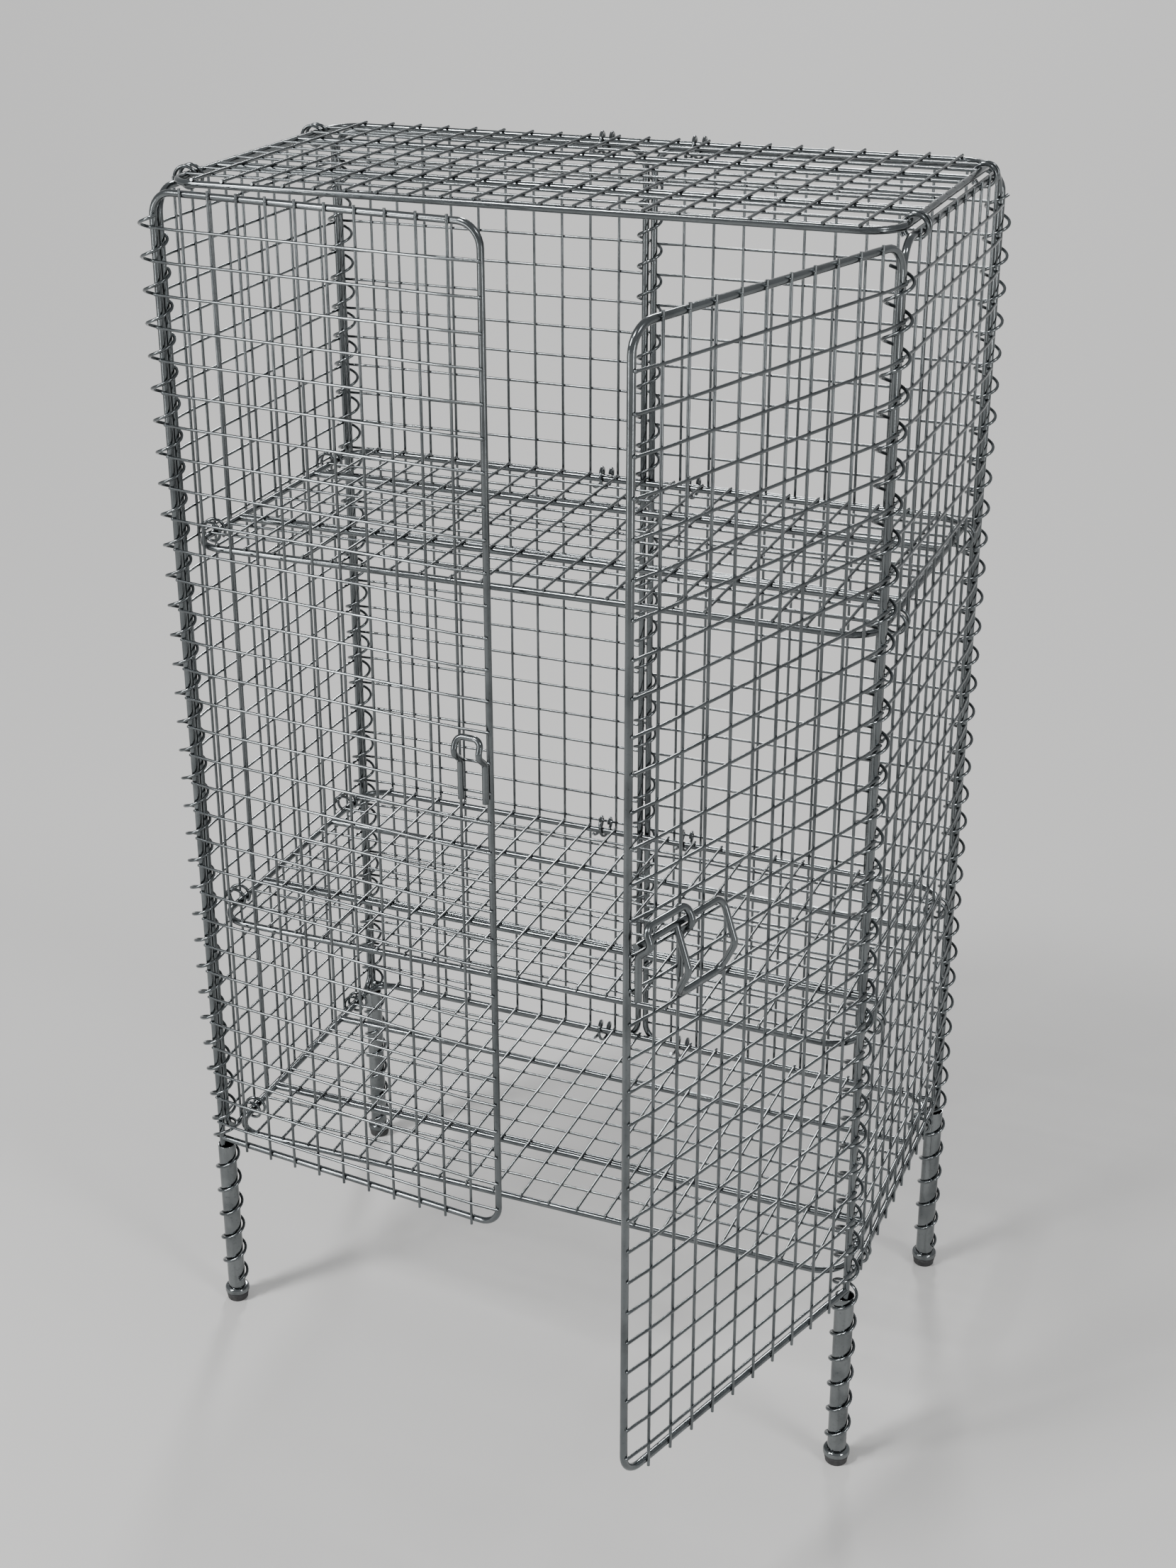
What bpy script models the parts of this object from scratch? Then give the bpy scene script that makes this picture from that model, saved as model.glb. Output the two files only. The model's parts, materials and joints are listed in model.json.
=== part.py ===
"""Kennel cage: a two-door wire-mesh cabinet on four legs, bound together by steel spirals.

Metres, +Z up. The origin is on the floor under the front left leg's axis, +X runs to the right
along the front, +Y to the back. Every wall is a bent rod frame with a welded mesh on its outer
side. The doors turn on their own outer rods, which run down into the front legs' tubes.
"""

import math

import bmesh
import bpy
from mathutils import Vector

# Wire and rod sizes
PITCH = 0.0254  # mesh pitch both ways, and the pitch of the spirals
ROD = 0.0056  # frame rod diameter
WIRE = 0.0026  # mesh wire, across the corners of its square section
SPIRAL_WIRE = 0.0026
CLIP_WIRE = 0.0028

# Upright panels: two doors, two sides and two backs of one size
PANEL_WIDTH = 0.2816  # centre to centre of the upright rods
CORNER_RADIUS = 0.018  # bend of a frame rod
FIRST_COLUMN = 0.0284  # outer rod to the first upright wire
COLUMN_NUMBERS = (2, 6)  # the upright wires that carry the mesh here
ROW_NUMBERS = (3, 7, 11, 15, 19, 23, 27, 31)  # the level wires that carry it
INNER_OUT = 0.0018  # wires of the inner layer, out from the rods' centres
OUTER_OUT = 0.0029  # wires of the outer layer, welded across them
OVERHANG = 0.0020  # a wire's end past the rod's centre

# Heights above the floor
BOTTOM_ROD = 0.174
TOP_ROD = 1.005
FIRST_ROW = 0.9789
LEG_RIM = 0.166
LEG_FOOT = 0.0125
PIVOT_END = 0.135  # lower end of a rod that runs down into a leg

# Legs' axes, and the rods that stand round them
SPAN_X = 0.5674
SPAN_Y = 0.2908
MIDDLE = SPAN_X / 2
OUTER_ROD = (0.0016, 0.0032)  # door's or back's rod: outboard, and forward or back
SIDE_ROD = (0.0006, 0.0046)  # side panel's rod: outboard, and inward
LEG_RADIUS = 0.0078
LEG_WALL = 0.0009

# Profiles round a leg's axis: distance out, height
FLANGE_OUTSIDE = [(0.0081, 0.0138), (0.0095, 0.0128), (0.0110, 0.0102), (0.0110, 0.0085)]
FLANGE_BORE = [(0.0069, 0.0085), (0.0069, 0.0121), (0.0081, 0.0121)]
FOOT_PLUG = [(0.0, 0.0200), (0.0064, 0.0200), (0.0066, 0.0081)]
FOOT_PAD = [(0.0092, 0.0081), (0.0100, 0.0060), (0.0092, 0.0), (0.0, 0.0)]

# Level panels: top, two shelves, bottom
LEVEL_SIDE = 0.0055  # side rod's centre, inboard of the legs' axes
LEVEL_FRONT = 0.0058
LEVEL_BACK = SPAN_Y - 0.0029
LEVEL_RADIUS = 0.025
LEVEL_HEIGHTS = {"top": 1.0105, "upper_shelf": 0.7257, "lower_shelf": 0.3902, "bottom": 0.1790}
DEPTH_NUMBERS = (-8, -4, 0, 4, 8)  # depth wires shown, counted in pitches from the middle
LONG_WIRE = 0.1307  # long wire shown, behind the front rod
BRACES = (0.0755, 0.2055)  # stiffening rods, behind the front rod

# Spirals and clips
SPIRAL_RADIUS = 0.01085  # to the corners of a turn
SPIRAL_POINTS = 6
SPIRAL_TOP = FIRST_ROW + 0.012
SPIRAL_FOOT = 0.0205
MIDDLE_SPIRAL = (BOTTOM_ROD + 0.046, FIRST_ROW + 0.004)
# Height of each spiral over a mesh row at its front, in pitches
PHASES = {"front_left": 0.25, "front_right": -0.27, "back_left": 0.27, "back_right": 0.16}
MIDDLE_PHASE = 0.48
DOOR_LIFT = 0.010  # rise of the front left spiral where the door's bottom rod swings under it
DOOR_LIFT_REACH = 0.62  # turns either side of the lift's crest
LEAN = 0.0036  # the front left spiral hangs outboard of its rods above the leg
LEAN_POINTS = 8
LEAN_START = 0.215
LEAN_FULL = 0.290
CLIP_RADIUS = 0.0103
CLIP_PITCH = 0.0085
CLIP_TURNS = 1.75
CLIP_POINTS = 6
CLIP_FRONT = 0.0385
CLIP_BACK = 0.2420
CLIP_MIDDLE = 0.0395
CLIP_HEIGHTS = {"top": 1.0078, "upper_shelf": 0.7253, "lower_shelf": 0.3924, "bottom": 0.1765}
# Clip centres at the end levels and at the shelves: inboard of a side, and behind the back legs
CLIP_INBOARD = {"top": 0.0024, "upper_shelf": 0.0014, "lower_shelf": 0.0014, "bottom": 0.0024}
CLIP_BEHIND = {"top": 0.0002, "upper_shelf": 0.0012, "lower_shelf": 0.0012, "bottom": 0.0002}

# Latch: distances along a door from its hinge rod, and out from the rods' centres
LATCH_ROW = FIRST_ROW - 14 * PITCH
STAPLE_ROD = 0.0052
STAPLES = {"left": (0.2600, 0.2816), "right": (0.2365, 0.2800)}
STAPLE_TOP = 0.0026  # below the latch row
STAPLE_KNEE = 0.0152
STAPLE_BACK = 0.0245
STAPLE_LENGTH = 0.0572
ON_MESH = 0.0080
KNEE_OUT = 0.0185
STAPLE_TOP_OUT = 0.0130
STAPLE_BEND = 0.0042
BOLT_ROD = 0.0050
BOLT_DROP = 0.0152
BOLT_OUT = 0.0098
BOLT_TIP = 0.2850
HANDLE_ARMS = (0.1940, 0.2440)
HANDLE_KNEE = (0.031, 0.0215)  # down from the bolt, and out
HANDLE_END = (0.053, 0.0105)
HANDLE_BEND = 0.0055
HANDLE_STOP = (0.0037, 0.0112)  # where the far arm ends under the bolt
HANDLE_WELD = (0.0069, 0.0124)  # lower end of the weld that joins it to the bolt
WELD_WIDTH = 0.0056

# Doors at rest
LEFT_OPEN = math.radians(5.5)
RIGHT_OPEN = math.radians(72.0)

ZINC = ((0.62, 0.63, 0.63, 1.0), 0.28, 1.0)
BRIGHT = ((0.78, 0.79, 0.80, 1.0), 0.14, 1.0)
RUBBER = ((0.015, 0.015, 0.016, 1.0), 0.75, 0.0)


def clear_scene():
    for obj in list(bpy.data.objects):
        bpy.data.objects.remove(obj, do_unlink=True)


def new_collection(name):
    group = bpy.data.collections.new(name)
    bpy.context.scene.collection.children.link(group)
    return group


def add_node(obj, finish, spot=(0.0, 0.0, 0.0), turn=0.0, parent=None):
    """Put the object in the cage with its own material, turned about Z at the spot."""
    colour, roughness, metallic = finish
    material = bpy.data.materials.new(obj.name)
    material.use_nodes = True
    shader = material.node_tree.nodes["Principled BSDF"]
    shader.inputs["Base Color"].default_value = colour
    shader.inputs["Roughness"].default_value = roughness
    shader.inputs["Metallic"].default_value = metallic
    obj.data.materials.append(material)
    CAGE.objects.link(obj)
    obj.location = spot
    obj.rotation_euler = (0.0, 0.0, turn)
    obj.parent = parent
    return obj


def rounded(corners, radius, steps, closed=False):
    """The corners joined by straight runs, each turn swept by an arc of the radius."""
    corners = [Vector(corner) for corner in corners]
    points = []
    for i, corner in enumerate(corners):
        if not closed and i in (0, len(corners) - 1):
            points.append(corner)
            continue
        before = (corners[i - 1] - corner).normalized()
        after = (corners[(i + 1) % len(corners)] - corner).normalized()
        half = before.angle(after) / 2
        run = radius / math.tan(half)
        middle = corner + (before + after).normalized() * (radius / math.sin(half))
        first = corner + before * run - middle
        last = corner + after * run - middle
        points += [middle + radius * first.slerp(last, step / steps) for step in range(steps + 1)]
    return points


def rod(name, points, diameter, closed=False, resolution=1):
    """A rod along the points, with flat ends unless it is a closed ring."""
    curve = bpy.data.curves.new(name, "CURVE")
    curve.dimensions = "3D"
    curve.bevel_depth = diameter / 2
    curve.bevel_resolution = resolution
    curve.use_fill_caps = not closed
    spline = curve.splines.new("POLY")
    spline.points.add(len(points) - 1)
    for spot, point in zip(spline.points, points):
        spot.co = (*point, 1.0)
    spline.use_cyclic_u = closed
    return bpy.data.objects.new(name, curve)


def as_mesh(obj):
    """The curve object as a closed mesh of the same name, its caps joined to its sides."""
    CUTTERS.objects.link(obj)
    bpy.context.view_layer.update()
    graph = bpy.context.evaluated_depsgraph_get()
    name = obj.name
    mesh = bpy.data.meshes.new_from_object(obj.evaluated_get(graph))
    bpy.data.objects.remove(obj, do_unlink=True)
    bm = bmesh.new()
    bm.from_mesh(mesh)
    bmesh.ops.remove_doubles(bm, verts=bm.verts, dist=1e-6)
    bmesh.ops.recalc_face_normals(bm, faces=bm.faces)
    bm.to_mesh(mesh)
    bm.free()
    mesh.name = name
    return bpy.data.objects.new(name, mesh)


def joined(name, pieces):
    """The overlapping curve rods welded into one solid."""
    base = as_mesh(pieces[0])
    base.name = name
    for piece in pieces[1:]:
        helper = as_mesh(piece)
        CUTTERS.objects.link(helper)
        helper.parent = base
        helper.hide_render = True
        helper.display_type = "WIRE"
        weld = base.modifiers.new(helper.name, "BOOLEAN")
        weld.operation = "UNION"
        weld.solver = "EXACT"
        weld.object = helper
    return base


def turned(name, profile, steps, on_axis=False):
    """A solid of revolution about Z; the profile runs down its outer side."""
    mesh = bpy.data.meshes.new(name)
    count = len(profile)
    edges = [(i, i + 1) for i in range(count - 1)]
    if not on_axis:
        edges.append((count - 1, 0))
    mesh.from_pydata([(radius, 0.0, height) for radius, height in profile], edges, [])
    obj = bpy.data.objects.new(name, mesh)
    screw = obj.modifiers.new("Turn", "SCREW")
    screw.steps = steps
    screw.render_steps = steps
    screw.use_smooth_shade = True
    screw.use_merge_vertices = on_axis
    screw.merge_threshold = 0.00001
    return obj


def wire(name, start, end):
    return rod(name, [Vector(start), Vector(end)], WIRE, resolution=0)


def upright_panel(name, hand, spot, turn, pivot):
    """A panel standing on its outer rod's axis and reaching to one hand, its mesh towards -Y.

    With a pivot the outer rod runs on down into the leg, and the bottom rod is welded to it.
    """
    far = hand * PANEL_WIDTH
    if pivot:
        path = [(0, 0, PIVOT_END), (0, 0, TOP_ROD), (far, 0, TOP_ROD), (far, 0, BOTTOM_ROD)]
        path.append((hand * 0.0055, 0, BOTTOM_ROD))
        weld = [Vector((hand * s, 0, BOTTOM_ROD)) for s in (0.0010, 0.0074)]
        pieces = [rod(name, rounded(path, CORNER_RADIUS, 3), ROD), rod(name + "_weld", weld, 0.0061)]
    else:
        path = [(0, 0, BOTTOM_ROD), (0, 0, TOP_ROD), (far, 0, TOP_ROD), (far, 0, BOTTOM_ROD)]
        pieces = [rod(name, rounded(path, CORNER_RADIUS, 3, closed=True), ROD, closed=True)]
    for number in COLUMN_NUMBERS:
        x = hand * (FIRST_COLUMN + number * PITCH)
        low = (x, -INNER_OUT, BOTTOM_ROD - OVERHANG)
        pieces.append(wire(f"{name}_column_{number}", low, (x, -INNER_OUT, TOP_ROD + OVERHANG)))
    for number in ROW_NUMBERS:
        z = FIRST_ROW - number * PITCH
        start = (hand * 0.0002, -OUTER_OUT, z)
        pieces.append(wire(f"{name}_row_{number}", start, (far + hand * 0.0012, -OUTER_OUT, z)))
    return add_node(joined(name, pieces), ZINC, spot, turn)


def level_panel(name, height):
    """The top, a shelf or the bottom: depth wires uppermost, a long wire and braces beneath."""
    half_x = MIDDLE - LEVEL_SIDE
    half_y = (LEVEL_BACK - LEVEL_FRONT) / 2
    corners = [(-half_x, -half_y, 0), (half_x, -half_y, 0), (half_x, half_y, 0), (-half_x, half_y, 0)]
    pieces = [rod(name, rounded(corners, LEVEL_RADIUS, 3, closed=True), ROD, closed=True)]
    for i, behind in enumerate(BRACES):
        y = behind - half_y
        ends = [Vector((-half_x, y, 0)), Vector((half_x, y, 0))]
        pieces.append(rod(f"{name}_brace_{i}", ends, ROD - 0.0004))
    y = LONG_WIRE - half_y
    pieces.append(wire(name + "_long", (-half_x, y, INNER_OUT), (half_x, y, INNER_OUT)))
    for number in DEPTH_NUMBERS:
        x = number * PITCH
        front = (x, -half_y - OVERHANG, OUTER_OUT)
        pieces.append(wire(f"{name}_depth_{number}", front, (x, half_y + OVERHANG, OUTER_OUT)))
    spot = (MIDDLE, (LEVEL_FRONT + LEVEL_BACK) / 2, height)
    return add_node(joined(name, pieces), ZINC, spot)


def spiral(name, spot, phase, low, high, lift=0.0, lean=0.0, steps=SPIRAL_POINTS):
    """A right-handed spiral round the spot; the phase is its height over a row at its front.

    The lift raises the one turn that crosses just above the door's bottom rod. The lean moves
    the turns above the leg outboard.
    """
    points = []
    first = math.ceil(((low - FIRST_ROW) / PITCH - phase) * steps)
    last = math.floor(((high - FIRST_ROW) / PITCH - phase) * steps)
    raised = round((BOTTOM_ROD - FIRST_ROW) / PITCH - phase + 0.1) + 0.03
    for step in range(first, last + 1):
        turn = step / steps
        angle = math.tau * (turn - 0.25)
        z = FIRST_ROW + PITCH * (turn + phase)
        leaning = min(max((z - LEAN_START) / (LEAN_FULL - LEAN_START), 0.0), 1.0)
        share = min(abs(turn - raised) / DOOR_LIFT_REACH, 1.0)
        z += lift * math.cos(math.pi / 2 * share) ** 2
        x = SPIRAL_RADIUS * math.cos(angle) - lean * leaning
        points.append(Vector((x, SPIRAL_RADIUS * math.sin(angle), z)))
    return add_node(rod(name, points, SPIRAL_WIRE, resolution=0), ZINC, spot)


def clip(name, centre, axis, start_angle):
    """A short piece of spiral about a level axis, its first turn at the centre."""
    points = []
    steps = round(CLIP_TURNS * CLIP_POINTS)
    for step in range(steps + 1):
        angle = start_angle + math.tau * step / CLIP_POINTS
        along = CLIP_PITCH * step / CLIP_POINTS
        across = CLIP_RADIUS * math.cos(angle)
        up = CLIP_RADIUS * math.sin(angle)
        points.append(Vector((along, across, up) if axis == "X" else (across, along, up)))
    return add_node(rod(name, points, CLIP_WIRE, resolution=0), ZINC, centre)


def build_legs():
    tube = [
        (LEG_RADIUS - LEG_WALL, LEG_RIM),
        (LEG_RADIUS, LEG_RIM),
        (LEG_RADIUS, LEG_FOOT),
        (LEG_RADIUS - LEG_WALL, LEG_FOOT),
    ]
    flange = FLANGE_OUTSIDE + FLANGE_BORE
    foot = FOOT_PLUG + FOOT_PAD
    for side, x in (("left", 0.0), ("right", SPAN_X)):
        for end, y in (("front", 0.0), ("back", SPAN_Y)):
            corner = f"{end}_{side}"
            add_node(turned(corner + "_leg", tube, 12), BRIGHT, (x, y, 0.0))
            add_node(turned(corner + "_flange", flange, 12), BRIGHT, (x, y, 0.0))
            add_node(turned(corner + "_foot", foot, 12, on_axis=True), RUBBER, (x, y, 0.0))


def build_panels():
    out_x, out_y = OUTER_ROD
    side_x, side_y = SIDE_ROD
    quarter = math.pi / 2
    back = SPAN_Y + out_y
    left = upright_panel("left_door", 1, (-out_x, -out_y, 0.0), -LEFT_OPEN, True)
    right = upright_panel("right_door", -1, (SPAN_X + out_x, -out_y, 0.0), RIGHT_OPEN, True)
    upright_panel("left_side", -1, (-side_x, side_y, 0.0), -quarter, False)
    upright_panel("right_side", 1, (SPAN_X + side_x, side_y, 0.0), quarter, False)
    upright_panel("left_back", -1, (-out_x, back, 0.0), math.pi, True)
    upright_panel("right_back", 1, (SPAN_X + out_x, back, 0.0), math.pi, True)
    for name, height in LEVEL_HEIGHTS.items():
        level_panel(name, height)
    return left, right


def build_spirals():
    spots = {"front_left": (0.0, 0.0), "front_right": (SPAN_X, 0.0)}
    spots.update({"back_left": (0.0, SPAN_Y), "back_right": (SPAN_X, SPAN_Y)})
    for corner, (x, y) in spots.items():
        shape = {}
        if corner == "front_left":
            shape = {"lift": DOOR_LIFT, "lean": LEAN, "steps": LEAN_POINTS}
        spiral(f"{corner}_spiral", (x, y, 0.0), PHASES[corner], SPIRAL_FOOT, SPIRAL_TOP, **shape)
    spiral("back_middle_spiral", (MIDDLE, SPAN_Y + OUTER_ROD[1], 0.0), MIDDLE_PHASE, *MIDDLE_SPIRAL)


def build_clips():
    length = CLIP_PITCH * CLIP_TURNS
    for level, height in CLIP_HEIGHTS.items():
        inboard = CLIP_INBOARD[level]
        for end, y in (("front", CLIP_FRONT), ("back", CLIP_BACK)):
            clip(f"{level}_{end}_left_clip", (inboard, y, height), "Y", 0.0)
            clip(f"{level}_{end}_right_clip", (SPAN_X - inboard, y, height), "Y", math.pi)
        y = SPAN_Y + CLIP_BEHIND[level]
        left = MIDDLE - CLIP_MIDDLE - length / 2
        right = MIDDLE + CLIP_MIDDLE - length / 2
        clip(f"{level}_rear_left_clip", (left, y, height), "X", math.pi)
        clip(f"{level}_rear_right_clip", (right, y, height), "X", math.pi)


def staple(name, hand, door):
    """The bulged loop on a door's mesh that the bolt passes behind."""
    near, far = (hand * s for s in STAPLES[name.split("_")[0]])
    z = LATCH_ROW
    side = [(ON_MESH, STAPLE_LENGTH), (ON_MESH, STAPLE_BACK), (KNEE_OUT, STAPLE_KNEE)]
    side.append((STAPLE_TOP_OUT, STAPLE_TOP))
    path = [(near, -out, z - drop) for out, drop in side]
    path += [(far, -out, z - drop) for out, drop in reversed(side)]
    return add_node(rod(name, rounded(path, STAPLE_BEND, 2), STAPLE_ROD), ZINC, parent=door)


def bolt(door):
    """The sliding bolt and its handle, bent from one rod; its free end is welded back to it."""
    z = LATCH_ROW - BOLT_DROP
    near, far = (-s for s in HANDLE_ARMS)
    knee_drop, knee_out = HANDLE_KNEE
    end_drop, end_out = HANDLE_END
    stop_drop, stop_out = HANDLE_STOP
    weld_drop, weld_out = HANDLE_WELD
    path = [(-BOLT_TIP, -BOLT_OUT, z), (near, -BOLT_OUT, z), (near, -knee_out, z - knee_drop)]
    path += [(near, -end_out, z - end_drop), (far, -end_out, z - end_drop)]
    path += [(far, -knee_out, z - knee_drop), (far, -stop_out, z - stop_drop)]
    weld = [Vector((far, -weld_out, z - weld_drop)), Vector((far, -BOLT_OUT, z))]
    pieces = [rod("bolt", rounded(path, HANDLE_BEND, 2), BOLT_ROD), rod("bolt_weld", weld, WELD_WIDTH)]
    return add_node(joined("bolt", pieces), ZINC, parent=door)


def main():
    build_legs()
    left, right = build_panels()
    build_spirals()
    build_clips()
    staple("left_staple", 1, left)
    staple("right_staple", -1, right)
    bolt(right)


clear_scene()
CAGE = new_collection("kennel_cage")
CUTTERS = new_collection("cutters")
main()
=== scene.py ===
"""Kennel cage: the wires, rods, spirals, legs and latch in full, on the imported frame.

Metres, in the frame's own coordinates: the origin is on the floor under the front left leg,
+X runs to the right along the front, +Y to the back, +Z up.
"""

import json
import math

import bmesh
import bpy
from bpy.props import FloatProperty, FloatVectorProperty, IntProperty, PointerProperty
from bpy.types import Operator, Panel, PropertyGroup
from mathutils import Matrix, Vector


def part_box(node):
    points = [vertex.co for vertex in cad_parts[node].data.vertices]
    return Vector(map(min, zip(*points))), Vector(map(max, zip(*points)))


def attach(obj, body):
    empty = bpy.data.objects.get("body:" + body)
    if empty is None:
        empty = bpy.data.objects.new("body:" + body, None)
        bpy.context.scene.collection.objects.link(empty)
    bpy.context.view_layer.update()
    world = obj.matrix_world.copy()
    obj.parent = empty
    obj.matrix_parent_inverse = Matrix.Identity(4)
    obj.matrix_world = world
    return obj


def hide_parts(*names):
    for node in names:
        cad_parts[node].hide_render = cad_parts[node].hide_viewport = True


bl_info = {
    "name": "Kennel Cage",
    "version": (1, 0, 0),
    "blender": (4, 5, 0),
    "location": "View3D > Sidebar > Kennel",
    "description": "Builds a two-door wire kennel cage bound together with steel spirals",
    "category": "Add Mesh",
}

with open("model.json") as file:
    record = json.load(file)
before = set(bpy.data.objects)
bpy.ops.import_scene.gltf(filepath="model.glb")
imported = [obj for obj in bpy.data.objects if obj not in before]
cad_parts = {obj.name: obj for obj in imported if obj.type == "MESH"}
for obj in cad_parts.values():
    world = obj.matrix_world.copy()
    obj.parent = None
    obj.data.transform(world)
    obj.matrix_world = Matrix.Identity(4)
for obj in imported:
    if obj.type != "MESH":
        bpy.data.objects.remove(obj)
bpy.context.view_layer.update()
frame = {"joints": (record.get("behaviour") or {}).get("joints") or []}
JOINTS = {joint["name"]: joint for joint in frame["joints"]}

# Where the frame has the legs, the doors and the panels
ORIGIN = Vector((0.0, 0.0, 0.0))
LEFT_HINGE = Vector(JOINTS["left_door_hinge"]["pos_m"]) * Vector((1.0, 1.0, 0.0))
RIGHT_HINGE = Vector(JOINTS["right_door_hinge"]["pos_m"]) * Vector((1.0, 1.0, 0.0))
LEFT_OPEN = -math.radians(JOINTS["left_door_hinge"]["range_deg"][0])
RIGHT_OPEN = -math.radians(JOINTS["right_door_hinge"]["range_deg"][0])


def box_centre(node):
    low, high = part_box(node)
    return (Vector(low) + Vector(high)) / 2


BACK_RIGHT = box_centre("back_right_leg")
SPAN_X = BACK_RIGHT.x
SPAN_Y = BACK_RIGHT.y
MIDDLE = SPAN_X / 2
PIVOT_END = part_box("left_door")[0][2]
LEG_LOW, LEG_RIM = (corner[2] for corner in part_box("front_left_leg"))
LEVELS = ("top", "upper_shelf", "lower_shelf", "bottom")
ROD_ABOVE_BASE = 0.00245  # from a level's underside in the frame to its rods' middle
LEVEL_HEIGHTS = {level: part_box(level)[0][2] + ROD_ABOVE_BASE for level in LEVELS}

# Panel layout, centre to centre of the rods
PANEL_WIDTH = 0.2816
BOTTOM_ROD = 0.174
TOP_ROD = 1.005
FIRST_ROW = 0.9789
FIRST_COLUMN = 0.0284
ROWS = 32
COLUMNS = 10
DEPTH_WIRES = 21
LONG_WIRES = 10
FIRST_LONG_WIRE = 0.0291
BRACES = (0.0755, 0.2055)  # behind a level's front rod
SIDE_INSET = Vector((-0.0006, 0.0046, 0.0))  # of the left side's standing rod from the leg

# Welds: how deep they sink, how far the wires run past a frame, and the knobs at their ends
WELD_SINK = 0.0005
COLUMN_SINK = 0.0002
LAST_ROD_GAP = 0.0005  # from the bottom rod's free end to the standing rod's middle
DIP_RUN = 0.026
ROW_OVER = 0.0012
COLUMN_OVER = 0.0046
DEPTH_WIRE_OVER = 0.0026
KNOB_RADIUS = 0.62  # in wire diameters
KNOB_SHAPE = (1.5, 0.8, 1.0)

# How finely the curves are divided
BEND_STEPS = 8
WIRE_POINTS = 25
SPIRAL_STEPS = 24
LATHE_STEPS = 40
SMOOTH_BELOW = 50  # degrees between faces

RELIEF_DEPTH = 0.0003  # of the plating's grain

# Spirals: where each starts, in turns against the rows, and how the front left one rises over
# the door's bottom rod and hangs outboard above the leg
SPIRAL_PHASES = {
    "front_left_spiral": 0.25,
    "front_right_spiral": -0.27,
    "back_left_spiral": 0.27,
    "back_right_spiral": 0.16,
    "back_middle_spiral": 0.48,
}
LEANING_SPIRAL = "front_left_spiral"
DOOR_LIFT = 0.010
LIFT_REACH = 0.62  # in turns, to either side
LIFT_LATE = 0.03  # in turns, past the one that meets the rod
LEAN = 0.0043
LEAN_RADIUS = 0.0101
LEAN_START = 0.215
LEAN_FULL = 0.290

CLIP_ENDS = ("front_left", "front_right", "back_left", "back_right", "rear_left", "rear_right")
CLIP_TURNS = 1.75
CLIP_PITCH = 0.0085
CLIP_START = 0.12  # in turns

# Latch: a staple's or handle's two sides are given along the door from its hinge rod
LATCH_ROW = 14
STAPLE_ROD = 0.0052
STAPLE_BEND = 0.0065
# Points of a staple's side, each out from the door's rods and down from the latch row
STAPLE_SIDE = ((0.0080, 0.0572), (0.0080, 0.0245), (0.0185, 0.0152), (0.0130, 0.0026))
LEFT_STAPLE = (0.2600, 0.2816)
RIGHT_STAPLE = (0.2365, 0.2800)
BOLT_ROD = 0.0050
BOLT_END = 0.2850
BOLT_OUT = 0.0098
BOLT_DROP = 0.0152
HANDLE = (0.1940, 0.2440)
HANDLE_BEND = 0.0085
# Each out from the door's rods and up from the bolt
HANDLE_KNEE = (0.0215, -0.031)
HANDLE_FOOT = (0.0105, -0.053)

FLOOR_SIZE = 200.0

# Camera: place in metres, then its heading from +Y towards +X, tilt down and roll in degrees
CAMERA_PLACE = (0.9386, -1.4791, 1.3160)
CAMERA_ANGLES = (-23.84, 23.75, 0.84)
CAMERA_LENS = 52.8
CAMERA_SHIFT = (0.0475, -0.0278)


class KennelSizes(PropertyGroup):
    """Sizes of the wires and rods."""

    pitch: FloatProperty(
        name="Mesh pitch",
        description="Distance between wires, and between a spiral's turns",
        default=0.0254,
        unit="LENGTH",
    )
    wire: FloatProperty(
        name="Mesh wire", description="Diameter of the mesh wire", default=0.0024, unit="LENGTH"
    )
    rod: FloatProperty(
        name="Frame rod", description="Diameter of the frames' rods", default=0.0056, unit="LENGTH"
    )
    bend: FloatProperty(
        name="Rod bend", description="Bend radius of an upright frame", default=0.018, unit="LENGTH"
    )
    level_bend: FloatProperty(
        name="Shelf bend", description="Bend radius of a level frame", default=0.025, unit="LENGTH"
    )
    spiral_wire: FloatProperty(
        name="Spiral wire",
        description="Diameter of the spirals' wire",
        default=0.0026,
        unit="LENGTH",
    )
    spiral_radius: FloatProperty(
        name="Spiral radius",
        description="Radius of a spiral, to its wire's middle",
        default=0.0095,
        unit="LENGTH",
    )
    clip_wire: FloatProperty(
        name="Clip wire", description="Diameter of the clips' wire", default=0.0028, unit="LENGTH"
    )
    clip_radius: FloatProperty(
        name="Clip radius",
        description="Radius of a clip, to its wire's middle",
        default=0.0086,
        unit="LENGTH",
    )
    rod_sides: IntProperty(
        name="Rod sides", description="Sides of a rod's section", default=16, min=6, max=32
    )
    wire_sides: IntProperty(
        name="Wire sides", description="Sides of a wire's section", default=8, min=6, max=16
    )


def colour_property(name, description, default):
    return FloatVectorProperty(
        name=name, description=description, default=default, subtype="COLOR", size=3, min=0, max=1
    )


class KennelColours(PropertyGroup):
    """Colours of the finishes and of the stage."""

    # Painted shade: the zinc, dull zinc and bright plate colours are set far darker than real zinc
    # plating, as a painted dark reflection of dark surroundings on the metal
    zinc: colour_property("Zinc", "Plating of the rods and wires", (0.15, 0.163, 0.168))
    dull_zinc: colour_property("Dull zinc", "Plating where it has dulled", (0.085, 0.093, 0.097))
    bright: colour_property("Bright plate", "The legs and flanges", (0.19, 0.203, 0.207))
    rubber: colour_property("Rubber", "The feet", (0.018, 0.018, 0.019))
    worn_rubber: colour_property("Worn rubber", "The feet where worn", (0.05, 0.05, 0.05))
    floor: colour_property("Floor", "The floor", (0.46, 0.455, 0.447))
    backdrop: colour_property("Backdrop", "The light all round", (0.70, 0.71, 0.72))


def sizes():
    return bpy.context.scene.kennel_sizes


def colours():
    return bpy.context.scene.kennel_colours


# Node trees


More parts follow.
